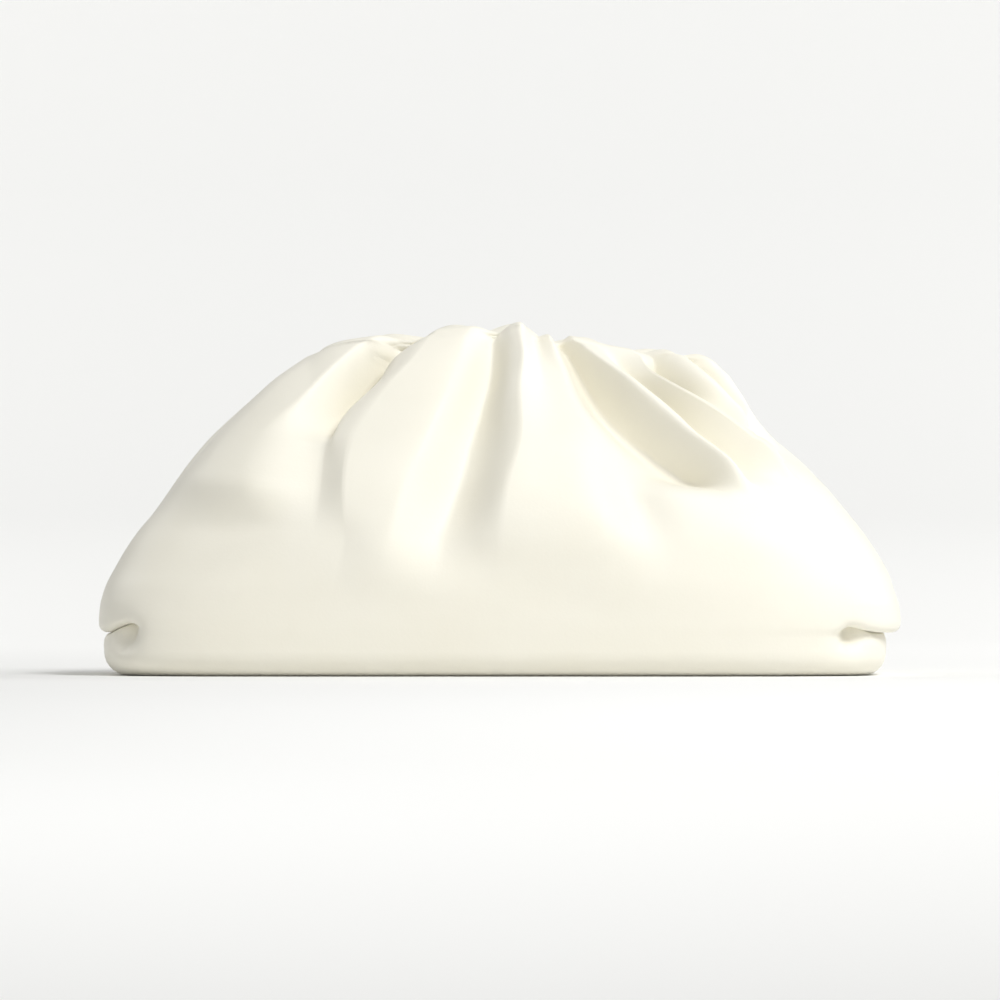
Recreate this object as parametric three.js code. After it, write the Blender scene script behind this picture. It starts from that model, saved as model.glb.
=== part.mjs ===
import * as THREE from "three";

// A soft gathered clutch pouch of smooth calf leather, standing on its flat base with the mouth at the top.
// Millimetres. X runs along the mouth, -Y is the front, +Z is up, and the origin is the middle of the base.
// The body is one hollow leather wall: up from the base, gathered in to the mouth, rolled over the rim and
// turned down inside as a facing. A stiff closed loop hangs hidden inside that roll and carries the gathers.

// Overall sizes
const BAG_LENGTH = 380;
const BAG_HEIGHT = 165;
const BAG_DEPTH = 168;

// Leather body
const LEATHER = 2.2;
const BASE_ROUND = 8;
const FOLD_RELIEF = 12;
const LIP_LIFT = 0.5;
const LIFT_FROM = 0.85;

// Tuck at the foot of each end. A row goes in and comes to the height up, from a plain height. arch is the
// share of TUCK_ARCH by which it rises towards the tuck's tips.
const TUCK_ARCH = 3.5;
const TUCK_TOP = 34;
const TUCK_ROWS = [
  { height: 13, inward: 0, up: 13, arch: 0.3 },
  { height: 17, inward: 0.8, up: 17.6, arch: 0.7 },
  { height: 20.5, inward: 8, up: 20.2, arch: 1 },
  { height: 23, inward: 2.4, up: 20.8, arch: 1 },
  { height: 26, inward: 0.3, up: 23.5, arch: 0.7 },
  { height: 30, inward: 0, up: 29, arch: 0.3 },
];
const DIMPLE_DEPTH = 3;

// Mouth
const MOUTH_GAP = 10;
const MOUTH_SQUARE = 6;
const LIP_ROUND = 7.5;
const FACING_DROP = 39;
const FACING_HOOK = 7.5;

// Frame loop inside the rolled rim
const FRAME_THICKNESS = 3;
const FRAME_HEIGHT = 6;
const FRAME_CLEARANCE = 0.3;
const FRAME_END_CLEARANCE = 1;

// Fineness of the mesh
const COLUMNS_PER_FOLD = 3;
const BODY_ROWS = 14;

// Level cuts through the body. level is the share of the rim's height. left and right are the reach to each
// end as shares of half the length, depth is the half depth as a share of half the depth, and square is the
// power of the oval, where 2 is an ellipse and more is nearer to a rectangle.
const SECTIONS = [
  { level: 0, left: 0.98, right: 0.958, depth: 0.945, square: 5.5 },
  { level: 0.11, left: 0.983, right: 0.96, depth: 0.975, square: 5 },
  { level: 0.14, left: 0.99, right: 0.985, depth: 0.983, square: 4.8 },
  { level: 0.18, left: 0.995, right: 0.994, depth: 0.99, square: 4.5 },
  { level: 0.25, left: 0.981, right: 0.977, depth: 1, square: 4 },
  { level: 0.3, left: 0.962, right: 0.963, depth: 1, square: 3.6 },
  { level: 0.4, left: 0.918, right: 0.914, depth: 0.985, square: 3.1 },
  { level: 0.5, left: 0.857, right: 0.854, depth: 0.93, square: 2.8 },
  { level: 0.6, left: 0.792, right: 0.79, depth: 0.845, square: 2.6 },
  { level: 0.7, left: 0.717, right: 0.705, depth: 0.73, square: 2.5 },
  { level: 0.8, left: 0.633, right: 0.629, depth: 0.585, square: 2.5 },
  { level: 0.9, left: 0.55, right: 0.595, depth: 0.4, square: 2.8 },
  { level: 1, left: 0.46, right: 0.573, depth: 0.2, square: 3.2 },
];

// Height of the rim along the mouth. at is the share of half the length from the middle, negative to the
// left.
const RIM = [
  { at: -0.46, height: 0.93 },
  { at: -0.4, height: 0.955 },
  { at: -0.3, height: 0.965 },
  { at: -0.15, height: 0.985 },
  { at: 0.02, height: 0.995 },
  { at: 0.1, height: 0.97 },
  { at: 0.2, height: 0.955 },
  { at: 0.35, height: 0.922 },
  { at: 0.48, height: 0.915 },
  { at: 0.54, height: 0.885 },
  { at: 0.6, height: 0.83 },
];

// The gathers, once round the bag: a row for each ridge or valley, in order. at is its places at the
// FOLD_LEVELS, from the lip to the foot, in quarter turns: 0 is the left end, 1 the middle of the front, 2
// the right end, 3 the middle of the back. rise is out and negative is in, at the RISE_LEVELS, as a share
// of FOLD_RELIEF. ends is the level where the fold dies out, over a height of fade, and crisp is 0 for a
// round fold and 1 for a sharp crease.
const FOLD_LEVELS = [1.0, 0.9, 0.8, 0.68, 0.55, 0.4];
const RISE_LEVELS = [1.0, 0.87, 0.68];
const FOLDS = [
  { at: [0, 0, 0, 0, 0, 0], rise: [-0.3, -0.5, -0.8], ends: 0.22, fade: 0.55, crisp: 0.3 },
  { at: [0.06, 0.1, 0.13, 0.16, 0.19, 0.24], rise: [0, 0, 0], ends: 0.4, fade: 0.3, crisp: 0 },
  { at: [0.16, 0.32, 0.37, 0.4, 0.45, 0.51], rise: [0.3, 0.45, 0.55], ends: 0.46, fade: 0.14, crisp: 0 },
  { at: [0.41, 0.45, 0.46, 0.51, 0.56, 0.6], rise: [-0.7, -1.6, -0.35], ends: 0.5, fade: 0.18, crisp: 0.7 },
  { at: [0.59, 0.64, 0.63, 0.61, 0.64, 0.68], rise: [0.2, 0.5, 0.55], ends: 0.34, fade: 0.26, crisp: 0.3 },
  { at: [0.75, 0.82, 0.85, 0.85, 0.83, 0.83], rise: [0, -0.05, 0.15], ends: 0.2, fade: 0.2, crisp: 0 },
  { at: [0.86, 0.92, 0.93, 0.92, 0.9, 0.88], rise: [-0.7, -0.9, -0.8], ends: 0.2, fade: 0.4, crisp: 0.2 },
  { at: [0.97, 1.04, 1.06, 1.06, 1.02, 1], rise: [0.4, 0.5, 0.45], ends: 0.25, fade: 0.3, crisp: 0.5 },
  { at: [1.07, 1.12, 1.16, 1.16, 1.14, 1.12], rise: [-0.2, 0.25, 0.55], ends: 0.2, fade: 0.3, crisp: 0 },
  { at: [1.12, 1.19, 1.23, 1.25, 1.24, 1.22], rise: [0.25, 0.2, 0.5], ends: 0.15, fade: 0.35, crisp: 0 },
  { at: [1.18, 1.32, 1.41, 1.5, 1.55, 1.5], rise: [-0.7, -1.4, -1.3], ends: 0.52, fade: 0.1, crisp: 1 },
  { at: [1.23, 1.39, 1.5, 1.54, 1.57, 1.54], rise: [0.35, 0.8, 0.95], ends: 0.52, fade: 0.1, crisp: 0.3 },
  { at: [1.45, 1.47, 1.58, 1.67, 1.7, 1.68], rise: [0.15, -0.3, -1], ends: 0.56, fade: 0.12, crisp: 1 },
  { at: [1.54, 1.55, 1.67, 1.77, 1.76, 1.75], rise: [0.2, 0.4, 0.7], ends: 0.56, fade: 0.12, crisp: 0 },
  { at: [1.61, 1.64, 1.76, 1.82, 1.82, 1.81], rise: [-0.1, -1.4, 0.8], ends: 0.78, fade: 0.08, crisp: 1 },
  { at: [1.74, 1.76, 1.84, 1.86, 1.86, 1.85], rise: [0.3, 0.5, 0.7], ends: 0.72, fade: 0.1, crisp: 0 },
  { at: [1.81, 1.84, 1.89, 1.9, 1.9, 1.89], rise: [-0.6, -0.65, 0.5], ends: 0.8, fade: 0.07, crisp: 1 },
  { at: [1.92, 1.92, 1.93, 1.95, 1.95, 1.94], rise: [0.3, 0.5, 0.2], ends: 0.6, fade: 0.2, crisp: 0 },
  { at: [2, 2, 2, 2, 2, 2], rise: [-0.2, -0.5, -0.8], ends: 0.22, fade: 0.55, crisp: 0.3 },
  { at: [2.1, 2.11, 2.12, 2.14, 2.15, 2.16], rise: [0.2, 0.3, 0.4], ends: 0.4, fade: 0.3, crisp: 0 },
  { at: [2.24, 2.26, 2.27, 2.29, 2.31, 2.32], rise: [-0.5, -0.6, -0.7], ends: 0.38, fade: 0.3, crisp: 0.8 },
  { at: [2.38, 2.4, 2.42, 2.44, 2.45, 2.46], rise: [0.5, 0.6, 0.7], ends: 0.3, fade: 0.35, crisp: 0 },
  { at: [2.54, 2.56, 2.57, 2.58, 2.59, 2.6], rise: [-0.5, -0.6, -0.7], ends: 0.36, fade: 0.35, crisp: 0.8 },
  { at: [2.7, 2.71, 2.71, 2.72, 2.73, 2.74], rise: [0.5, 0.6, 0.7], ends: 0.25, fade: 0.35, crisp: 0 },
  { at: [2.86, 2.86, 2.86, 2.87, 2.88, 2.88], rise: [-0.6, -0.7, -0.8], ends: 0.3, fade: 0.35, crisp: 0.9 },
  { at: [3.02, 3.01, 3.01, 3.01, 3.01, 3.01], rise: [0.5, 0.55, 0.6], ends: 0.2, fade: 0.4, crisp: 0 },
  { at: [3.18, 3.17, 3.17, 3.16, 3.15, 3.15], rise: [-0.5, -0.6, -0.7], ends: 0.3, fade: 0.35, crisp: 0.8 },
  { at: [3.34, 3.33, 3.32, 3.31, 3.3, 3.3], rise: [0.5, 0.65, 0.8], ends: 0.28, fade: 0.3, crisp: 0 },
  { at: [3.5, 3.49, 3.48, 3.47, 3.46, 3.45], rise: [-0.6, -0.75, -0.9], ends: 0.36, fade: 0.35, crisp: 0.9 },
  { at: [3.66, 3.64, 3.62, 3.6, 3.59, 3.58], rise: [0.5, 0.6, 0.7], ends: 0.36, fade: 0.25, crisp: 0 },
  { at: [3.8, 3.78, 3.77, 3.75, 3.73, 3.72], rise: [-0.4, -0.45, -0.5], ends: 0.42, fade: 0.25, crisp: 0.6 },
  { at: [3.92, 3.91, 3.9, 3.88, 3.86, 3.85], rise: [0.2, 0.25, 0.3], ends: 0.4, fade: 0.3, crisp: 0 },
];

const mix = (a, b, t) => a + (b - a) * t;
const clamp01 = (t) => Math.min(1, Math.max(0, t));
const ease = (t) => clamp01(t) ** 2 * (3 - 2 * clamp01(t));
const bell = (d) => Math.exp(-d * d);

// Reads one column of a table at a place between its rows, on a smooth curve through the rows.
function along(table, place, column, x) {
  const last = table.length - 1;
  if (x <= table[0][place]) return table[0][column];
  if (x >= table[last][place]) return table[last][column];
  const i = table.findIndex((row) => row[place] > x) - 1;
  const slope = (k) => {
    const before = table[Math.max(0, k - 1)];
    const after = table[Math.min(last, k + 1)];
    return (after[column] - before[column]) / (after[place] - before[place]);
  };
  const span = table[i + 1][place] - table[i][place];
  const t = (x - table[i][place]) / span;
  const s = 1 - t;
  return (
    table[i][column] * (1 + 2 * t) * s * s +
    table[i + 1][column] * (3 - 2 * t) * t * t +
    slope(i) * span * t * s * s -
    slope(i + 1) * span * t * t * s
  );
}

// A quarter of an oval with half sizes a and b, from its end (share 0) to its side (share 1), by length.
const QUARTER_STEPS = 160;
function quarterOval(a, b, power) {
  const points = [];
  let run = 0;
  for (let i = 0; i <= QUARTER_STEPS; i++) {
    const angle = ((Math.PI / 2) * i) / QUARTER_STEPS;
    const c = Math.cos(angle);
    const s = Math.sin(angle);
    const radius = (c ** power + s ** power) ** (-1 / power);
    const point = { x: a * radius * c, y: b * radius * s, run: 0 };
    if (i) run += Math.hypot(point.x - points[i - 1].x, point.y - points[i - 1].y);
    point.run = run;
    points.push(point);
  }
  return (share) => {
    const target = share * run;
    const i = Math.min(QUARTER_STEPS, Math.max(1, points.findIndex((p) => p.run >= target)));
    const [p, q] = [points[i - 1], points[i]];
    const t = clamp01((target - p.run) / (q.run - p.run));
    return [mix(p.x, q.x, t), mix(p.y, q.y, t)];
  };
}

// A ring of the smooth shape: the function gives the point at a number of quarter turns.
function ring({ shift, reach, depth, square, height }) {
  const quarter = quarterOval(reach, depth, square);
  return (turn) => {
    const whole = ((turn % 4) + 4) % 4;
    const part = whole % 2;
    const [x, y] = quarter(part <= 1 ? part : 2 - part);
    const px = shift + (part <= 1 === whole < 2 ? -x : x);
    return new THREE.Vector3(px, whole < 2 ? -y : y, height(px));
  };
}

const rimHeight = (x) => BAG_HEIGHT * along(RIM, "at", "height", x / (BAG_LENGTH / 2));

// The rim stands this far in from the roll's outer edge, and the roll starts where it meets the body.
const ROLL_START = Math.PI / 4;
const crestDepth = MOUTH_GAP / 2 + LIP_ROUND;
const rollLevel = 1 - (LIP_ROUND * (1 - Math.sin(ROLL_START))) / BAG_HEIGHT;

// The smooth body at a level, with nothing folded. inward moves the whole ring in, for the base's round edge.
function bodyRing(level, inward = 0) {
  const column = (name) => along(SECTIONS, "level", name, level);
  const half = BAG_LENGTH / 2;
  const toRoll = clamp01(level / rollLevel);
  return ring({
    shift: (half * (column("right") - column("left"))) / 2,
    reach: (half * (column("right") + column("left"))) / 2 - inward,
    depth: (BAG_DEPTH / 2) * column("depth") - inward,
    square: column("square"),
    height: (x) => level * BAG_HEIGHT + (rimHeight(x) - BAG_HEIGHT) * toRoll ** 3,
  });
}

// A ring of the rolled rim, at an angle over it: a quarter pi where the body ends, pi at the facing.
function rollRing(angle) {
  const top = SECTIONS[SECTIONS.length - 1];
  const outward = LIP_ROUND * Math.cos(angle);
  return ring({
    shift: ((BAG_LENGTH / 2) * (top.right - top.left)) / 2,
    reach: ((BAG_LENGTH / 2) * (top.right + top.left)) / 2 - LIP_ROUND + outward,
    depth: crestDepth + outward,
    square: mix(top.square, MOUTH_SQUARE, clamp01(-outward / LIP_ROUND)),
    height: (x) => rimHeight(x) - LIP_ROUND * (1 - Math.sin(angle)),
  });
}

// The facing hangs straight down from the roll to a level foot, then hooks outward below the frame.
const FACING_FOOT = BAG_HEIGHT - FACING_DROP;
const facingReach = (BAG_LENGTH / 2) * (SECTIONS.at(-1).right + SECTIONS.at(-1).left) / 2 - 2 * LIP_ROUND;
function facingRing(hook) {
  const top = SECTIONS.at(-1);
  return ring({
    shift: ((BAG_LENGTH / 2) * (top.right - top.left)) / 2,
    reach: facingReach + hook,
    depth: MOUTH_GAP / 2 + hook,
    square: MOUTH_SQUARE,
    height: () => FACING_FOOT,
  });
}

// Reads a list of values, given at falling levels, at a level.
function atLevel(levels, values, level) {
  const path = levels.map((at, i) => ({ down: 1 - at, value: values[i] }));
  return along(path, "down", "value", 1 - level);
}

// Every fold's place and rise at a level, and the slopes from each fold to the next. passing is the slope at
// a fold where the surface only runs on from one slope to the next, and nothing on a ridge or in a valley.
function foldsAt(level) {
  const next = (i) => (i + 1) % FOLDS.length;
  const at = FOLDS.map((fold) => atLevel(FOLD_LEVELS, fold.at, level));
  const rise = FOLDS.map((fold) => {
    const alive = ease((level - fold.ends) / fold.fade);
    return FOLD_RELIEF * alive * atLevel(RISE_LEVELS, fold.rise, level);
  });
  const gap = at.map((from, i) => (at[next(i)] - from + 4) % 4);
  const steep = rise.map((from, i) => (rise[next(i)] - from) / gap[i]);
  const passing = steep.map((after, i) => {
    const before = steep[(i + FOLDS.length - 1) % FOLDS.length];
    return before * after > 0 ? (2 * before * after) / (before + after) : 0;
  });
  return { at, rise, gap, steep, passing };
}

// Between two neighbouring folds the leather follows a cubic, flat over a round fold and sloping at a crease.
const CREASE_SLOPE = 1.6;
function foldAt(folds, column) {
  const i = Math.floor(column / COLUMNS_PER_FOLD);
  const j = (i + 1) % FOLDS.length;
  const t = (column % COLUMNS_PER_FOLD) / COLUMNS_PER_FOLD;
  const s = 1 - t;
  const leaving = folds.passing[i] + CREASE_SLOPE * FOLDS[i].crisp * folds.steep[i];
  const arriving = folds.passing[j] + CREASE_SLOPE * FOLDS[j].crisp * folds.steep[i];
  const rise =
    folds.rise[i] * (1 + 2 * t) * s * s +
    folds.rise[j] * (3 - 2 * t) * t * t +
    folds.gap[i] * (leaving * t * s * s - arriving * t * t * s);
  return { turn: folds.at[i] + folds.gap[i] * t, rise };
}

// How much of the tuck there is at a turn: all of it across an end, none past its tips.
const TUCK_FULL = 0.22;
const TUCK_TIP = 0.335;
const fromEnd = (turn) => Math.abs(turn - 2 * Math.round(turn / 2));
const tuckShare = (turn) => 1 - ease((fromEnd(turn) - TUCK_FULL) / (TUCK_TIP - TUCK_FULL));

// The small hollow under each tip of the tuck.
const DIMPLE_TURN = 0.27;
const DIMPLE_WIDTH = 0.04;
const DIMPLE_HEIGHT = 18;
const DIMPLE_RISE = 5.5;
const dimple = (turn, z) =>
  DIMPLE_DEPTH * bell((fromEnd(turn) - DIMPLE_TURN) / DIMPLE_WIDTH) * bell((z - DIMPLE_HEIGHT) / DIMPLE_RISE);

// Rows of the outer skin, from the base up over the roll and down the facing. level is where the folds are
// read, tuck is how the row goes in and up at an end, and flat is the share of the way over the roll.
const rows = [];
const BASE_EDGE_STEPS = 2;
for (let i = 0; i <= BASE_EDGE_STEPS; i++) {
  const angle = ((Math.PI / 2) * i) / BASE_EDGE_STEPS;
  const level = (BASE_ROUND * (1 - Math.cos(angle))) / BAG_HEIGHT;
  rows.push({ level, at: bodyRing(level, BASE_ROUND * (1 - Math.sin(angle))) });
}
for (const tuck of TUCK_ROWS) {
  const level = tuck.height / BAG_HEIGHT;
  rows.push({ level, at: bodyRing(level), tuck });
}
const bodyStart = TUCK_TOP / BAG_HEIGHT;
for (let i = 0; i < BODY_ROWS; i++) {
  const level = mix(bodyStart, rollLevel, i / BODY_ROWS);
  rows.push({ level, at: bodyRing(level) });
}
const ROLL_STEPS = 4;
for (let i = 0; i <= ROLL_STEPS; i++) {
  const flat = i / ROLL_STEPS;
  rows.push({ level: 1, at: rollRing(mix(ROLL_START, Math.PI, flat)), flat });
}
rows.push({ level: 1, at: facingRing(0), flat: 1 });
rows.push({ level: 1, at: facingRing(FACING_HOOK), flat: 1 });
rows.forEach((row) => {
  row.folds = foldsAt(row.level);
});

// One point of the outer skin, and the way out of the smooth shape there.
const columns = FOLDS.length * COLUMNS_PER_FOLD;
function skinPoint(row, column) {
  const { level, at, tuck, flat = 0, folds } = rows[row];
  const { turn, rise } = foldAt(folds, column);
  const before = rows[Math.max(0, row - 1)].at(turn);
  const after = rows[Math.min(rows.length - 1, row + 1)].at(turn);
  const step = 0.01;
  const way = at(turn + step).sub(at(turn - step));
  const out = way.cross(after.sub(before)).normalize();
  const lift = mix(1, LIP_LIFT, ease((level - LIFT_FROM) / (1 - LIFT_FROM)));
  const point = at(turn);
  const sideways = new THREE.Vector3(out.x, out.y, 0).normalize();
  const moved = rise * (1 - ease(flat));
  const inward = dimple(turn, point.z);
  point.add(new THREE.Vector3(out.x, out.y, out.z * lift).multiplyScalar(moved));
  point.addScaledVector(sideways, -inward);
  if (tuck) {
    const share = tuckShare(turn);
    point.addScaledVector(sideways, -tuck.inward * share);
    point.z += share * (tuck.up - tuck.height + TUCK_ARCH * tuck.arch * ease(fromEnd(turn) / TUCK_FULL));
  }
  return { point, out };
}

// The leather body: outer skin, then the same rows back down inside, a wall's thickness in.
function leatherBody() {
  const outer = rows.map((_, r) => Array.from({ length: columns }, (_, c) => skinPoint(r, c)));
  const rings = outer.map((line) => line.map(({ point }) => point.clone()));
  const inner = outer.map((line) =>
    line.map(({ point, out }) => point.clone().addScaledVector(out, -LEATHER))
  );
  rings.push(...inner.reverse());
  const corners = rings.flat();
  const faces = [];
  rings.slice(1).forEach((_, r) => {
    for (let c = 0; c < columns; c++) {
      const d = (c + 1) % columns;
      const [a, b] = [r * columns + c, r * columns + d];
      const [e, f] = [a + columns, b + columns];
      faces.push(a, b, f, a, f, e);
    }
  });
  const cap = (first, z, turned) => {
    const middle = corners.push(new THREE.Vector3(0, 0, z)) - 1;
    for (let c = 0; c < columns; c++) {
      const edge = [first + c, first + ((c + 1) % columns)];
      faces.push(middle, ...(turned ? edge : edge.reverse()));
    }
  };
  cap(0, 0, false);
  cap((rings.length - 1) * columns, LEATHER, true);
  return new THREE.BufferGeometry().setFromPoints(corners).setIndex(faces);
}

// The frame: a plain flat-sided loop with round ends, just behind the facing and above its hook.
function frameLoop() {
  const shift = ((BAG_LENGTH / 2) * (SECTIONS.at(-1).right - SECTIONS.at(-1).left)) / 2;
  const gap = LEATHER + FRAME_CLEARANCE;
  const stadium = (path, around) => {
    const radius = MOUTH_GAP / 2 + gap + around;
    const straight = facingReach + gap + FRAME_END_CLEARANCE + around - radius;
    path.absarc(shift + straight, 0, radius, -Math.PI / 2, Math.PI / 2);
    path.absarc(shift - straight, 0, radius, Math.PI / 2, (3 * Math.PI) / 2);
    return path;
  };
  const shape = stadium(new THREE.Shape(), FRAME_THICKNESS);
  shape.holes.push(stadium(new THREE.Path(), 0));
  const thick = { depth: FRAME_HEIGHT, bevelEnabled: false, curveSegments: 8 };
  const loop = new THREE.ExtrudeGeometry(shape, thick);
  return loop.translate(0, 0, FACING_FOOT + gap);
}

const calf = new THREE.MeshStandardMaterial({ color: 0xf4f0e4, roughness: 0.5, metalness: 0 });
const steel = new THREE.MeshStandardMaterial({ color: 0x9a9a9a, roughness: 0.4, metalness: 1 });

const bag = new THREE.Group();
const body = new THREE.Mesh(leatherBody(), calf);
body.name = "leather_body";
bag.add(body);
const frame = new THREE.Mesh(frameLoop(), steel);
frame.name = "mouth_frame";
bag.add(frame);

export default bag;
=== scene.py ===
"""A soft gathered clutch pouch of ivory calf leather, standing closed on its flat base.

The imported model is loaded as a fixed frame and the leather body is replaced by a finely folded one, worked
out here as one closed surface: up from the base, gathered in to the mouth, rolled over the rim and turned
down inside as a facing. Lengths in the tables are millimetres unless they say otherwise.
"""
import math

import bpy
import numpy as np
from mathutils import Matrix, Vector


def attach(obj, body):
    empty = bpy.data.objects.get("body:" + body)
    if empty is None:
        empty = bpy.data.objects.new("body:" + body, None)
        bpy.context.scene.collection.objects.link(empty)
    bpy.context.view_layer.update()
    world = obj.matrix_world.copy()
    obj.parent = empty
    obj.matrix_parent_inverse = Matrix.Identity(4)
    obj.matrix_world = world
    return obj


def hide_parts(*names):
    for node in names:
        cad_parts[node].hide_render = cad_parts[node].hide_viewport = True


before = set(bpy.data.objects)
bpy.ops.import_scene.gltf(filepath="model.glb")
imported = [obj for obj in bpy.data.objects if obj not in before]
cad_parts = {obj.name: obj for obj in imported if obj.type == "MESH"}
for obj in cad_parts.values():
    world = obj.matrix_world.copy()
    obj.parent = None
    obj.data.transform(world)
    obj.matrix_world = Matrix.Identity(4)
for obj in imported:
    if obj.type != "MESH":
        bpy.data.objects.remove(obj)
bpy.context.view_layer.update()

MM = 0.001

# A very small number that keeps a division from meeting zero
TINY = 1e-9

# Overall sizes
BAG_LENGTH = 380
BAG_HEIGHT = 165
BAG_DEPTH = 168
LEATHER = 2.2
BASE_ROUND = 11

# Folds: how far a rise of 1 stands out, and how far a lean of 1 hangs over its neighbour
FOLD_RELIEF = 12
FOLD_LEAN = 6

# A sharp crease comes in this many times as steeply as the straight way from its neighbour
CREASE_SLOPE = 1.6

# The lean starts at the level LEAN_FROM, is whole LEAN_FADE above it, and dies out over the last LEAN_TOP
LEAN_FROM = 0.6
LEAN_FADE = 0.2
LEAN_TOP = 0.06

# From this level up the folds lift the leather less and less, down to the share LIP_LIFT at the rim
LIFT_FROM = 0.85
LIP_LIFT = 0.5

# Mouth: the width of the slit and the power of its oval, the radius of the rolled rim round it, and how far
# the facing hangs down and turns out at its foot
MOUTH_GAP = 10
MOUTH_SQUARE = 6
LIP_ROUND = 7.5
FACING_DROP = 39
FACING_HOOK = 7.5

# Fineness of the mesh: columns in each fold, rows in each part on the way up and over, how many outer rows
# there are to each inner one, and the steps that measure an oval's length
COLUMNS_PER_FOLD = 13
BASE_ROWS = 7
TUCK_ROWS = 34
WALL_ROWS = 70
ROLL_ROWS = 22
FACING_ROWS = 6
INNER_ROW_STEP = 3
OVAL_STEPS = 401

# The leather's look: width of the grain's cells, of the pores and of the faint clouds in its colour, and the
# depth of the grain. Real calf has grain about a third as wide, too fine to show, so it is drawn coarser.
GRAIN_SIZE = 1.1
PORE_SIZE = 2.4
CLOUD_SIZE = 45
GRAIN_DEPTH = 0.4

# The steel's brushing: the length of its strokes and how far apart they lie
BRUSH_LENGTH = 50
BRUSH_WIDTH = 0.77


def table(names, *rows):
    """Rows of numbers under named columns: gives each column as an array."""
    return dict(zip(names.split(), np.array(rows, float).T))


# Level cuts through the body: the share of the rim's height, the reach to each end as shares of half the
# length, the half depth as a share of half the depth, and the power of the oval, where 2 is an ellipse.
SECTIONS = table(
    "level left right depth square",
    (0.00, 0.980, 0.958, 0.945, 5.5),
    (0.11, 0.983, 0.960, 0.975, 5.0),
    (0.14, 0.990, 0.985, 0.983, 4.8),
    (0.18, 0.995, 0.994, 0.990, 4.5),
    (0.25, 0.981, 0.977, 1.000, 4.0),
    (0.30, 0.962, 0.963, 1.000, 3.6),
    (0.40, 0.918, 0.914, 0.985, 3.1),
    (0.50, 0.857, 0.854, 0.930, 2.8),
    (0.60, 0.792, 0.790, 0.845, 2.6),
    (0.70, 0.717, 0.705, 0.730, 2.5),
    (0.80, 0.633, 0.629, 0.585, 2.5),
    (0.90, 0.550, 0.595, 0.400, 2.8),
    (1.00, 0.460, 0.573, 0.200, 3.2),
)

# Height of the rim along the mouth: the share of half the length from the middle, and of the height.
RIM = table(
    "at height",
    (-0.46, 0.925),
    (-0.40, 0.945),
    (-0.30, 0.958),
    (-0.15, 0.985),
    (0.02, 0.995),
    (0.10, 0.970),
    (0.20, 0.955),
    (0.35, 0.922),
    (0.48, 0.915),
    (0.54, 0.885),
    (0.60, 0.830),
)

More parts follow.
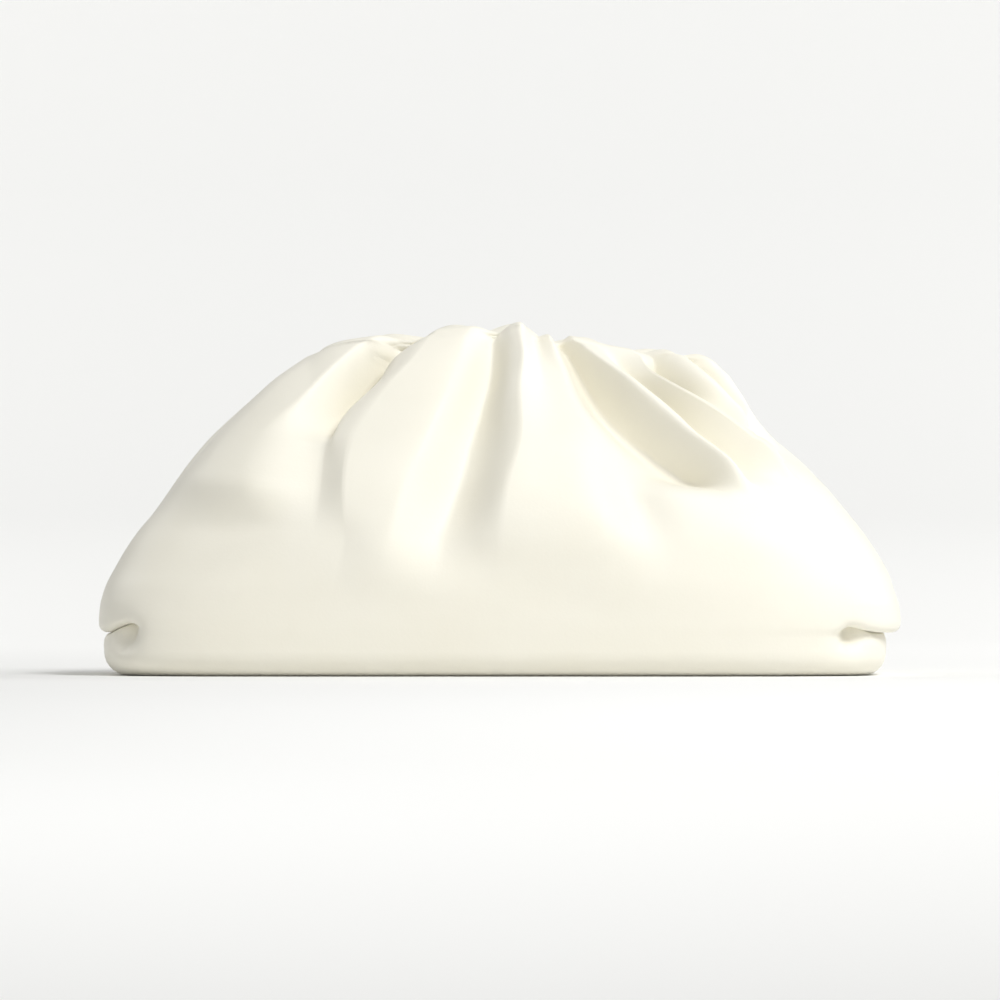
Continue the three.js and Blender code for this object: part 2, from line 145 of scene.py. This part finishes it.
# The gathers, once round the bag, a row for each ridge or valley. lip to foot are its places at the
# FOLD_LEVELS in quarter turns: 0 is the left end, 1 the middle of the front, 2 the right end, 3 the middle
# of the back. top, mid and low are how far it rises at the HEIGHT_LEVELS. It is gone below the level ends
# and whole from fade above that. crisp is 0 for round and 1 for a sharp crease, and over is how far it leans
# over its neighbour, plus to the next one and minus to the one before.
PLACES = ("lip", "neck", "waist", "hip", "knee", "foot")
FOLD_LEVELS = np.array([1.0, 0.9, 0.8, 0.68, 0.55, 0.4])
HEIGHT_LEVELS = np.array([1.0, 0.87, 0.68])
FOLDS = table(
    "lip neck waist hip knee foot top mid low ends fade crisp over",
    (0.00, 0.00, 0.00, 0.00, 0.00, 0.00, -0.30, -0.50, -0.80, 0.22, 0.55, 0.3, 0.0),
    (0.04, 0.06, 0.08, 0.11, 0.14, 0.19, 0.10, 0.10, 0.05, 0.40, 0.30, 0.0, 0.0),
    (0.13, 0.18, 0.22, 0.24, 0.28, 0.37, 0.30, 0.50, 0.65, 0.42, 0.14, 0.2, 0.0),
    (0.30, 0.33, 0.35, 0.36, 0.40, 0.50, 0.45, 0.50, 0.85, 0.42, 0.12, 0.1, 0.0),
    (0.43, 0.45, 0.47, 0.52, 0.57, 0.61, -1.00, -1.95, 0.00, 0.53, 0.10, 0.3, 0.0),
    (0.60, 0.63, 0.61, 0.60, 0.63, 0.68, 0.20, 0.50, 0.55, 0.34, 0.26, 0.7, -1.3),
    (0.75, 0.80, 0.82, 0.80, 0.77, 0.76, 0.15, 0.20, 0.30, 0.20, 0.25, 0.0, 0.0),
    (0.87, 0.93, 0.94, 0.92, 0.90, 0.88, -0.78, -1.05, -1.05, 0.22, 0.34, 0.2, 0.0),
    (0.97, 1.04, 1.06, 1.06, 1.02, 1.00, 0.65, 0.80, 0.65, 0.25, 0.30, 0.3, 0.0),
    (1.07, 1.12, 1.16, 1.16, 1.14, 1.12, -0.20, 0.25, 0.55, 0.20, 0.30, 0.0, 0.0),
    (1.12, 1.19, 1.23, 1.25, 1.24, 1.22, 0.25, 0.20, 0.50, 0.15, 0.35, 0.0, 0.0),
    (1.18, 1.31, 1.39, 1.46, 1.52, 1.50, -0.70, -1.25, -1.25, 0.52, 0.10, 0.0, 0.0),
    (1.23, 1.38, 1.49, 1.53, 1.58, 1.56, 0.35, 0.70, 0.85, 0.52, 0.10, 0.0, 0.5),
    (1.40, 1.44, 1.55, 1.60, 1.64, 1.63, 0.15, -0.60, -1.20, 0.56, 0.12, 0.2, 0.0),
    (1.51, 1.54, 1.65, 1.74, 1.75, 1.74, 0.20, 0.65, 0.90, 0.56, 0.12, 0.7, 0.0),
    (1.59, 1.58, 1.69, 1.77, 1.80, 1.79, -0.10, -1.80, 0.80, 0.79, 0.08, 0.9, 0.0),
    (1.68, 1.73, 1.79, 1.84, 1.85, 1.84, 0.40, 0.70, 0.70, 0.72, 0.10, 0.0, 0.3),
    (1.76, 1.78, 1.85, 1.89, 1.90, 1.89, -0.80, -1.90, 0.50, 0.80, 0.07, 0.6, 0.0),
    (1.88, 1.90, 1.94, 1.95, 1.96, 1.95, 0.20, 0.40, 0.15, 0.60, 0.20, 0.0, 0.0),
    (2.00, 2.00, 2.00, 2.00, 2.00, 2.00, -0.20, -0.50, -0.80, 0.22, 0.55, 0.3, 0.0),
    (2.10, 2.11, 2.12, 2.14, 2.15, 2.16, 0.20, 0.30, 0.40, 0.40, 0.30, 0.0, 0.0),
    (2.24, 2.26, 2.27, 2.29, 2.31, 2.32, -0.50, -0.60, -0.70, 0.38, 0.30, 0.8, 0.0),
    (2.38, 2.40, 2.42, 2.44, 2.45, 2.46, 0.50, 0.60, 0.70, 0.30, 0.35, 0.0, 0.3),
    (2.54, 2.56, 2.57, 2.58, 2.59, 2.60, -0.50, -0.60, -0.70, 0.36, 0.35, 0.8, 0.0),
    (2.70, 2.71, 2.71, 2.72, 2.73, 2.74, 0.50, 0.60, 0.70, 0.25, 0.35, 0.0, 0.2),
    (2.86, 2.86, 2.86, 2.87, 2.88, 2.88, -0.60, -0.70, -0.80, 0.30, 0.35, 0.9, 0.0),
    (3.02, 3.01, 3.01, 3.01, 3.01, 3.01, 0.50, 0.55, 0.60, 0.20, 0.40, 0.0, 0.0),
    (3.18, 3.17, 3.17, 3.16, 3.15, 3.15, -0.50, -0.60, -0.70, 0.30, 0.35, 0.8, 0.0),
    (3.34, 3.33, 3.32, 3.31, 3.30, 3.30, 0.50, 0.65, 0.80, 0.28, 0.30, 0.0, -0.3),
    (3.50, 3.49, 3.48, 3.47, 3.46, 3.45, -0.60, -0.75, -0.90, 0.36, 0.35, 0.9, 0.0),
    (3.66, 3.64, 3.62, 3.60, 3.59, 3.58, 0.50, 0.60, 0.70, 0.36, 0.25, 0.0, -0.2),
    (3.80, 3.78, 3.77, 3.75, 3.73, 3.72, -0.40, -0.45, -0.50, 0.42, 0.25, 0.6, 0.0),
    (3.92, 3.91, 3.90, 3.88, 3.86, 3.85, 0.20, 0.25, 0.30, 0.40, 0.30, 0.0, 0.0),
)

# The tuck low on each end, where the leather folds in sideways: it lies between two heights, and its arch is
# TUCK_SPAN wide, in quarter turns. The table is the leather's path across it, going up: step is the share of
# the way, inward and up are millimetres.
TUCK_LOW = 11
TUCK_HIGH = 34
TUCK_SPAN = 0.045
TUCK_PATH = table(
    "step inward up",
    (0.00, 0.0, 11.0),
    (0.18, 0.0, 15.0),
    (0.30, 0.8, 17.8),
    (0.38, 2.6, 19.6),
    (0.46, 6.5, 20.2),
    (0.50, 8.0, 20.4),
    (0.54, 6.8, 20.6),
    (0.62, 2.8, 20.3),
    (0.70, 0.8, 21.8),
    (0.80, 0.0, 25.0),
    (1.00, 0.0, 34.0),
)

# How far the tuck runs round the left end and round the right end, in quarter turns from the middle of the
# end: it keeps its full depth as far as full, is gone at tip, and arches up by arch millimetres round peak.
TUCKS = table(
    "full tip peak arch",
    (0.240, 0.315, 0.263, 5.0),
    (0.280, 0.345, 0.300, 1.4),
)

# Soft dents and swellings laid on top of the folds: place in quarter turns, level, half widths across and up
# in millimetres, lean of the long way in degrees, and height in millimetres, minus for a dent.
MARKS = table(
    "turn level across up lean height",
    (0.265, 0.118, 7, 7, 0, -8.5),
    (1.700, 0.112, 7, 6, 0, -8.5),
    (2.300, 0.112, 7, 6, 0, -8.5),
    (3.735, 0.118, 7, 7, 0, -8.5),
    (1.31, 0.50, 13, 22, 10, -6.5),
    (1.55, 0.44, 26, 24, 0, 4.0),
    (1.70, 0.38, 30, 12, -25, -2.0),
    (0.40, 0.42, 30, 12, 20, -2.0),
    (0.75, 0.33, 34, 14, 0, 2.5),
)


def ease(t):
    """A smooth step from 0 to 1: three t squared less two t cubed."""
    t = np.clip(t, 0, 1)
    return t * t * (3 - 2 * t)


def mix(a, b, t):
    """The value a share t of the way from a to b."""
    return a + (b - a) * t


def along(place, values, x):
    """A smooth curve through the points (place, values), read at x: cubic pieces with averaged slopes."""
    place = np.asarray(place, float)
    values = np.asarray(values, float)
    last = len(place) - 1
    slope = np.empty(last + 1)
    slope[1:-1] = (values[2:] - values[:-2]) / (place[2:] - place[:-2])
    slope[0] = (values[1] - values[0]) / (place[1] - place[0])
    slope[-1] = (values[-1] - values[-2]) / (place[-1] - place[-2])
    x = np.clip(x, place[0], place[-1])
    i = np.clip(np.searchsorted(place, x, side="right") - 1, 0, last - 1)
    span = place[i + 1] - place[i]
    t = (x - place[i]) / span
    s = 1 - t
    start = values[i] * (1 + 2 * t) * s * s + slope[i] * span * t * s * s
    return start + values[i + 1] * (3 - 2 * t) * t * t - slope[i + 1] * span * t * t * s


def oval_row(turn, shift, reach, depth, square):
    """Points of one level ring at the given quarter turns, and the length of a quarter. Each quarter is an
    oval of the given power: x is reach times cos a over r and y is depth times sin a over r, where r is the
    root of the sum of both powers. The turn runs along it by length."""
    angle = np.linspace(0, math.pi / 2, OVAL_STEPS)
    c = np.cos(angle)
    s = np.sin(angle)
    radius = (np.maximum(c, 0) ** square + s**square) ** (-1 / square)
    x = reach * radius * c
    y = depth * radius * s
    run = np.concatenate([[0], np.cumsum(np.hypot(np.diff(x), np.diff(y)))])
    whole = turn % 4
    part = whole % 2
    share = np.where(part <= 1, part, 2 - part) * run[-1]
    px = np.interp(share, run, x)
    py = np.interp(share, run, y)
    left = (part <= 1) == (whole < 2)
    return shift + np.where(left, -px, px), np.where(whole < 2, -py, py), run[-1]


# Sizes that follow from those above: the top ring's middle, reach and power, the half depth of the rim's
# crest, the facing's foot, and the angle and level where the wall ends and the rolled rim starts
HALF = BAG_LENGTH / 2
TOP_SHIFT = HALF * (SECTIONS["right"][-1] - SECTIONS["left"][-1]) / 2
TOP_REACH = HALF * (SECTIONS["right"][-1] + SECTIONS["left"][-1]) / 2
TOP_SQUARE = SECTIONS["square"][-1]
CREST_DEPTH = MOUTH_GAP / 2 + LIP_ROUND
FACING_FOOT = BAG_HEIGHT - FACING_DROP
ROLL_START = math.pi / 4
ROLL_LEVEL = 1 - LIP_ROUND * (1 - math.sin(ROLL_START)) / BAG_HEIGHT


def rim_height(x):
    """How high the rim stands over a place along the mouth, from the table RIM."""
    return BAG_HEIGHT * along(RIM["at"], RIM["height"], x / HALF)


def body_row(turn, level, inward=0):
    """A ring of the smooth body at a level, with nothing folded, moved in by inward. Its height is the
    level's share of the bag's, and the rim's rise and fall come in with the cube of the level."""
    left = along(SECTIONS["level"], SECTIONS["left"], level)
    right = along(SECTIONS["level"], SECTIONS["right"], level)
    depth = along(SECTIONS["level"], SECTIONS["depth"], level) * BAG_DEPTH / 2
    square = along(SECTIONS["level"], SECTIONS["square"], level)
    shift = HALF * (right - left) / 2
    reach = HALF * (right + left) / 2
    x, y, run = oval_row(turn, shift, reach - inward, depth - inward, square)
    z = level * BAG_HEIGHT + (rim_height(x) - BAG_HEIGHT) * min(level / ROLL_LEVEL, 1) ** 3
    return np.stack([x, y, z], -1), run


def roll_row(turn, angle):
    """A ring over the rolled rim, which is part of a circle: out by its radius times the cosine of an angle
    and up by the sine. The angle is a quarter pi where the body ends, half pi on top, pi at the facing."""
    outward = LIP_ROUND * math.cos(angle)
    square = mix(TOP_SQUARE, MOUTH_SQUARE, min(max(-outward / LIP_ROUND, 0), 1))
    x, y, run = oval_row(turn, TOP_SHIFT, TOP_REACH - LIP_ROUND + outward, CREST_DEPTH + outward, square)
    return np.stack([x, y, rim_height(x) - LIP_ROUND * (1 - math.sin(angle))], -1), run


def facing_row(turn, share, hook=0):
    """A ring of the facing, a share of the straight way down, or moved out by hook at its foot."""
    reach = TOP_REACH - 2 * LIP_ROUND
    x, y, run = oval_row(turn, TOP_SHIFT, reach + hook, MOUTH_GAP / 2 + hook, MOUTH_SQUARE)
    return np.stack([x, y, mix(rim_height(x) - LIP_ROUND, FACING_FOOT, share)], -1), run


def table_at(levels, columns, level):
    """Each fold's value at a level, from its values at the given levels."""
    return np.array([along(1 - levels, values, 1 - level) for values in np.array(columns).T])


# One over the greatest value of a share times the square of the rest, which is at a third
HUMP = 27 / 4


def fold_field(level, columns):
    """Where each column lies in quarter turns at a level, how far it rises, and how far it leans, as shares.
    Between two neighbouring folds the rise is a cubic. It lies flat on a ridge or a round valley, runs on at
    the harmonic mean of the two slopes where the surface only passes through, and comes in steeply to a
    crease. The lean is the share down from the fold that leans times the square of the rest, which is
    greatest a third of the way, and HUMP brings that greatest value to 1."""
    at = table_at(FOLD_LEVELS, [FOLDS[name] for name in PLACES], level)
    alive = ease((level - FOLDS["ends"]) / FOLDS["fade"])
    height = alive * table_at(HEIGHT_LEVELS, [FOLDS[name] for name in ("top", "mid", "low")], level)
    lean = alive * FOLDS["over"] * ease((level - LEAN_FROM) / LEAN_FADE)
    lean = lean * ease((1 - level) / LEAN_TOP)
    gap = (np.roll(at, -1) - at) % 4
    steep = (np.roll(height, -1) - height) / gap
    before = np.roll(steep, 1)
    passing = np.where(steep * before > 0, 2 * steep * before / (steep + before + TINY), 0)
    i = (columns // COLUMNS_PER_FOLD).astype(int)
    t = (columns % COLUMNS_PER_FOLD) / COLUMNS_PER_FOLD
    j = (i + 1) % len(at)
    s = 1 - t
    leaving = passing[i] + CREASE_SLOPE * FOLDS["crisp"][i] * steep[i]
    arriving = passing[j] + CREASE_SLOPE * FOLDS["crisp"][j] * steep[i]
    rise = height[i] * (1 + 2 * t) * s * s + height[j] * (3 - 2 * t) * t * t
    rise = rise + gap[i] * (leaving * t * s * s - arriving * t * t * s)
    turn = at[i] + gap[i] * t
    hump = HUMP * np.where(lean[i] > 0, lean[i], 0) * t * s * s
    hump = hump + HUMP * np.where(lean[j] < 0, lean[j], 0) * t * t * s
    return turn, rise, hump


def spread(low, high, count):
    """Evenly spaced values from low up to, but not at, high."""
    return list(np.linspace(low, high, count, endpoint=False))


def body_rows():
    """The rows of the surface on the way up, over the rim and down inside: for each its kind, its level, the
    value that places its ring, and its share of the way through the tuck. The edge of the base is a quarter
    circle, with level and inset from the cosine and sine of its angle."""
    rows = []
    for angle in spread(0, math.pi / 2, BASE_ROWS):
        level = BASE_ROUND * (1 - math.cos(angle)) / BAG_HEIGHT
        rows.append(("body", level, BASE_ROUND * (1 - math.sin(angle)), 0.0))
    for step in spread(0, 1, TUCK_ROWS):
        rows.append(("body", mix(TUCK_LOW, TUCK_HIGH, step) / BAG_HEIGHT, 0, step))
    for level in spread(TUCK_HIGH / BAG_HEIGHT, ROLL_LEVEL, WALL_ROWS):
        rows.append(("body", level, 0, 0.0))
    for angle in spread(ROLL_START, math.pi, ROLL_ROWS):
        rows.append(("roll", 1.0, angle, 0.0))
    for share in spread(0, 1, FACING_ROWS):
        rows.append(("facing", 1.0, share, 0.0))
    for hook in (0, FACING_HOOK / 2, FACING_HOOK):
        rows.append(("hook", 1.0, hook, 0.0))
    return rows


def smooth_row(kind, turn, level, value):
    """One ring of the surface before it is folded, the length of its quarter, and the share of the folds
    that it takes: all on the body, eased away over the rim, none inside."""
    if kind == "body":
        return *body_row(turn, level, value), 1.0
    if kind == "roll":
        return *roll_row(turn, value), 1 - ease((value - ROLL_START) / (math.pi - ROLL_START))
    if kind == "facing":
        return *facing_row(turn, value), 0.0
    return *facing_row(turn, 1, value), 0.0


def mark_relief(turns, levels, runs):
    """How far the dents and swellings move each point out: for each mark its height times e to the minus
    squared distance, counted in half widths along its two ways."""
    relief = np.zeros_like(turns)
    for turn, level, across, up, lean, height in zip(*MARKS.values()):
        side = ((turns - turn + 2) % 4 - 2) * runs
        rise = (levels - level) * BAG_HEIGHT
        angle = math.radians(lean)
        u = side * math.cos(angle) + rise * math.sin(angle)
        v = rise * math.cos(angle) - side * math.sin(angle)
        relief += height * np.exp(-((u / across) ** 2) - (v / up) ** 2)
    return relief


def tuck_shift(turns, steps, out):
    """How the tuck moves each point: straight in by the path's inward, and up by the path's up less the
    height it had. The arch is highest halfway through, as sine squared, and falls off round the bag to both
    sides of its peak as e to the minus squared distance."""
    end = np.round(turns / 2)
    from_end = np.abs(turns - 2 * end)
    full, tip, peak, height = (values[(end % 2).astype(int)] for values in TUCKS.values())
    in_tuck = (steps > 0) * (1 - ease((from_end - full) / (tip - full)))
    flat = out * (1, 1, 0)
    flat /= np.maximum(np.linalg.norm(flat, axis=-1, keepdims=True), TINY)
    inward = along(TUCK_PATH["step"], TUCK_PATH["inward"], steps)
    up = along(TUCK_PATH["step"], TUCK_PATH["up"], steps) - mix(TUCK_LOW, TUCK_HIGH, steps)
    arch = height * np.exp(-(((from_end - peak) / TUCK_SPAN) ** 2)) * np.sin(math.pi * steps) ** 2
    shift = -flat * (in_tuck * inward)[..., None]
    shift[..., 2] += in_tuck * (up + arch)
    return shift


def body_surface():
    """The outer skin as a grid of rows and columns, and the way out at each point. A row is a smooth ring.
    Each point then moves out by the folds and the marks, sideways by the lean, and in and up by the tuck."""
    columns = np.arange(len(FOLDS["lip"]) * COLUMNS_PER_FOLD)
    rows = body_rows()
    smooth = []
    turns = []
    rises = []
    leans = []
    runs = []
    for kind, level, value, _ in rows:
        turn, rise, lean = fold_field(level, columns)
        point, run, share = smooth_row(kind, turn, level, value)
        smooth.append(point)
        turns.append(turn)
        rises.append(rise * share * FOLD_RELIEF)
        leans.append(lean * share * FOLD_LEAN)
        runs.append(run)
    smooth = np.array(smooth)
    turns = np.array(turns)
    leans = np.array(leans)
    runs = np.array(runs)[:, None]
    levels = np.array([level for _, level, _, _ in rows])[:, None]
    steps = np.array([step for _, _, _, step in rows])[:, None]
    on_body = np.array([kind == "body" for kind, _, _, _ in rows])[:, None]
    rises = np.array(rises) + on_body * mark_relief(turns, levels, runs)
    way = np.roll(smooth, -1, 1) - np.roll(smooth, 1, 1)
    way /= np.linalg.norm(way, axis=-1, keepdims=True)
    out = np.cross(way, np.gradient(smooth, axis=0))
    out /= np.linalg.norm(out, axis=-1, keepdims=True)
    lift = mix(1, LIP_LIFT, ease((levels - LIFT_FROM) / (1 - LIFT_FROM)))
    tall = np.concatenate([np.ones_like(levels), np.ones_like(levels), lift], 1)[:, None]
    point = smooth + out * tall * rises[..., None] + way * leans[..., None]
    return point + tuck_shift(turns, steps, out), out


def leather_mesh():
    """One closed skin: the outer grid, then a coarser grid a leather's thickness inside it, joined at the
    hook's edge. A flat floor, a fan of triangles round its middle, closes each at the bottom."""
    outer, out = body_surface()
    keep = np.arange(len(outer) - 1, -1, -INNER_ROW_STEP)
    keep = np.concatenate([keep[keep > 0], [0]])
    inner = outer[keep] - out[keep] * LEATHER
    grid = np.concatenate([outer, inner])
    rows, columns = grid.shape[:2]
    floor_points = [(0, 0, 0), (0, 0, grid[-1, 0, 2])]
    points = np.concatenate([grid.reshape(-1, 3), floor_points]) * MM
    ring = np.arange(columns)
    after = (ring + 1) % columns
    low = np.arange(rows - 1)[:, None] * columns
    high = low + columns
    quads = np.stack([low + ring, low + after, high + after, high + ring], -1)
    last = (rows - 1) * columns
    under = np.stack([np.full(columns, rows * columns), after, ring], -1)
    inside = np.stack([np.full(columns, rows * columns + 1), last + ring, last + after], -1)
    faces = quads.reshape(-1, 4).tolist() + under.tolist() + inside.tolist()
    mesh = bpy.data.meshes.new("leather_body_shaped")
    mesh.from_pydata(points, [], faces)
    mesh.polygons.foreach_set("use_smooth", np.ones(len(mesh.polygons), bool))
    mesh.update()
    return mesh


def linear(hex_colour):
    """An sRGB hex colour as the linear numbers that Blender's sockets take."""
    parts = [int(hex_colour[i : i + 2], 16) / 255 for i in (1, 3, 5)]
    return [*(p / 12.92 if p <= 0.04045 else ((p + 0.055) / 1.055) ** 2.4 for p in parts), 1]


def node(tree, kind, values=None, links=None, **settings):
    """Adds a node to a tree: settings on the node, values on its sockets and links from other sockets."""
    made = tree.nodes.new(kind)
    for name, value in settings.items():
        setattr(made, name, value)
    for name, value in (values or {}).items():
        made.inputs[name].default_value = value
    for name, source in (links or {}).items():
        tree.links.new(source, made.inputs[name])
    return made


def new_material(name):
    """A material with an empty node tree."""
    material = bpy.data.materials.new(name)
    material.use_nodes = True
    material.node_tree.nodes.clear()
    return material


def finish_material(material, shader):
    """Links the shader to the material's output."""
    node(material.node_tree, "ShaderNodeOutputMaterial", links={"Surface": shader.outputs[0]})
    return material


def smooth_calf_leather():
    """Ivory calf leather, dyed through and softly waxed: a satin skin with a very fine grain."""
    material = new_material("smooth_calf_leather_ivory")
    tree = material.node_tree
    where = node(tree, "ShaderNodeTexCoord").outputs["Object"]
    grain = node(
        tree,
        "ShaderNodeTexVoronoi",
        {"Scale": 1 / (GRAIN_SIZE * MM)},
        {"Vector": where},
        feature="SMOOTH_F1",
    )
    pores = node(
        tree,
        "ShaderNodeTexNoise",
        {"Scale": 1 / (PORE_SIZE * MM), "Detail": 4.0, "Roughness": 0.6},
        {"Vector": where},
    )
    cloud = node(
        tree,
        "ShaderNodeTexNoise",
        {"Scale": 1 / (CLOUD_SIZE * MM), "Detail": 3.0, "Roughness": 0.5},
        {"Vector": where},
    )
    height = node(
        tree,
        "ShaderNodeMix",
        {"Factor": 0.5},
        {"A": grain.outputs["Distance"], "B": pores.outputs["Fac"]},
    )
    bump = node(
        tree,
        "ShaderNodeBump",
        {"Strength": 0.12, "Distance": GRAIN_DEPTH * MM},
        {"Height": height.outputs["Result"]},
    )
    tint = node(tree, "ShaderNodeMix", links={"Factor": cloud.outputs["Fac"]}, data_type="RGBA")
    tint.inputs["A"].default_value = linear("#F2EEDF")
    tint.inputs["B"].default_value = linear("#F5F2E6")
    shader = node(
        tree,
        "ShaderNodeBsdfPrincipled",
        {"Roughness": 0.5, "IOR": 1.45, "Specular IOR Level": 0.4, "Sheen Weight": 0.1},
        {"Base Color": tint.outputs["Result"], "Normal": bump.outputs["Normal"]},
    )
    return finish_material(material, shader)


def satin_steel():
    """Plain cold-rolled steel strip with a satin surface: grey, softly shining, brushed along the strip."""
    material = new_material("satin_steel_strip")
    tree = material.node_tree
    where = node(tree, "ShaderNodeTexCoord").outputs["Object"]
    along_strip = 1 / (BRUSH_LENGTH * MM)
    stretch = node(
        tree,
        "ShaderNodeMapping",
        {"Scale": (along_strip, along_strip, 1 / (BRUSH_WIDTH * MM))},
        {"Vector": where},
    )
    brushed = node(
        tree,
        "ShaderNodeTexNoise",
        {"Scale": 1.0, "Detail": 2.0},
        {"Vector": stretch.outputs[0]},
    )
    rough = node(
        tree,
        "ShaderNodeMapRange",
        {"To Min": 0.3, "To Max": 0.42},
        {"Value": brushed.outputs["Fac"]},
    )
    shader = node(
        tree,
        "ShaderNodeBsdfPrincipled",
        {"Metallic": 1.0, "Base Color": linear("#C6C7C8")},
        {"Roughness": rough.outputs["Result"]},
    )
    return finish_material(material, shader)


def plain_backdrop():
    """Matt white paper, off a roll: it scatters the light and shows no gloss."""
    material = new_material("matt_white_paper")
    shader = node(
        material.node_tree,
        "ShaderNodeBsdfPrincipled",
        {"Base Color": linear("#F3F3F1"), "Roughness": 0.9, "Specular IOR Level": 0.1},
    )
    return finish_material(material, shader)


def soft_box(name, place, target, side, power):
    """A square studio light at a place, facing a target."""
    light = bpy.data.lights.new(name, "AREA")
    light.size = side
    light.energy = power
    lamp = bpy.data.objects.new(name, light)
    lamp.location = place
    lamp.rotation_euler = (Vector(target) - Vector(place)).to_track_quat("-Z", "Y").to_euler()
    bpy.context.scene.collection.objects.link(lamp)


# The leather body
body = bpy.data.objects.new("leather_body_shaped", leather_mesh())
bpy.context.scene.collection.objects.link(body)
body.data.materials.append(smooth_calf_leather())
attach(body, "root")
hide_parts("leather_body")

# The hidden frame keeps its own solid
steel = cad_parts["mouth_frame"]
steel.data.materials.clear()
steel.data.materials.append(satin_steel())

# Floor and backdrop: one sheet of paper that curves up behind, low enough to look over from the back. SWEEP
# is its path from front to back in metres, away and up.
SWEEP = ((-7.0, 0), (1.2, 0), (1.9, 0.07), (2.4, 0.3), (2.6, 0.56))
PAPER_REACH = 4.0
paper = bpy.data.meshes.new("paper_sweep")
paper_points = [(x, y, z) for y, z in SWEEP for x in (-PAPER_REACH, PAPER_REACH)]
paper_faces = [(2 * i, 2 * i + 1, 2 * i + 3, 2 * i + 2) for i in range(len(SWEEP) - 1)]
paper.from_pydata(paper_points, [], paper_faces)
paper.polygons.foreach_set("use_smooth", np.ones(len(paper.polygons), bool))
backdrop = bpy.data.objects.new("paper_sweep", paper)
backdrop.data.materials.append(plain_backdrop())
bpy.context.scene.collection.objects.link(backdrop)

# Camera: level and straight in front, with a long lens from far away. The photo is a square of PHOTO_SIDE
# pixels, the bag is PHOTO_LENGTH of them long, and its foot is on the row PHOTO_FOOT from the top.
PHOTO_SIDE = 1000
PHOTO_LENGTH = 803
PHOTO_FOOT = 674
PIXEL = BAG_LENGTH / PHOTO_LENGTH * MM
CAMERA_AWAY = 5.0
SENSOR = 36
camera_data = bpy.data.cameras.new("camera")
camera_data.sensor_width = SENSOR
camera_data.lens = SENSOR * CAMERA_AWAY / (PHOTO_SIDE * PIXEL)
camera_data.clip_end = 50
camera = bpy.data.objects.new("camera", camera_data)
camera.location = (0, -CAMERA_AWAY, (PHOTO_FOOT - PHOTO_SIDE / 2) * PIXEL)
camera.rotation_euler = (math.pi / 2, 0, 0)
bpy.context.scene.collection.objects.link(camera)
bpy.context.scene.camera = camera

# Light: a large soft key from above on the right, a weak one from the right side, a bright room, and lamps
# that keep the paper white behind the bag and in front of it. Places and sides are metres, powers are watts.
MIDDLE = (0, 0, 0.07)
PAPER_BEHIND = (0, 2.5, 0.4)
ROOM_BRIGHTNESS = 0.345
soft_box("key", (0.95, -1.15, 1.55), MIDDLE, side=0.7, power=29)
soft_box("side", (1.5, 0.3, 0.9), MIDDLE, side=0.8, power=3)
for x in (-1.5, 1.5):
    soft_box("backdrop_light", (x, 0.9, 1.2), PAPER_BEHIND, side=0.8, power=18)
for y in (-2.3, -3.3):
    soft_box("floor_light", (0, y, 1.1), (0, y, 0), side=0.8, power=6)
world = bpy.data.worlds.new("room")
world.use_nodes = True
world.node_tree.nodes.clear()
room_values = {"Color": linear("#FFFFFF"), "Strength": ROOM_BRIGHTNESS}
room = node(world.node_tree, "ShaderNodeBackground", room_values)
node(world.node_tree, "ShaderNodeOutputWorld", links={"Surface": room.outputs[0]})
bpy.context.scene.world = world
bpy.context.scene.view_settings.view_transform = "Standard"
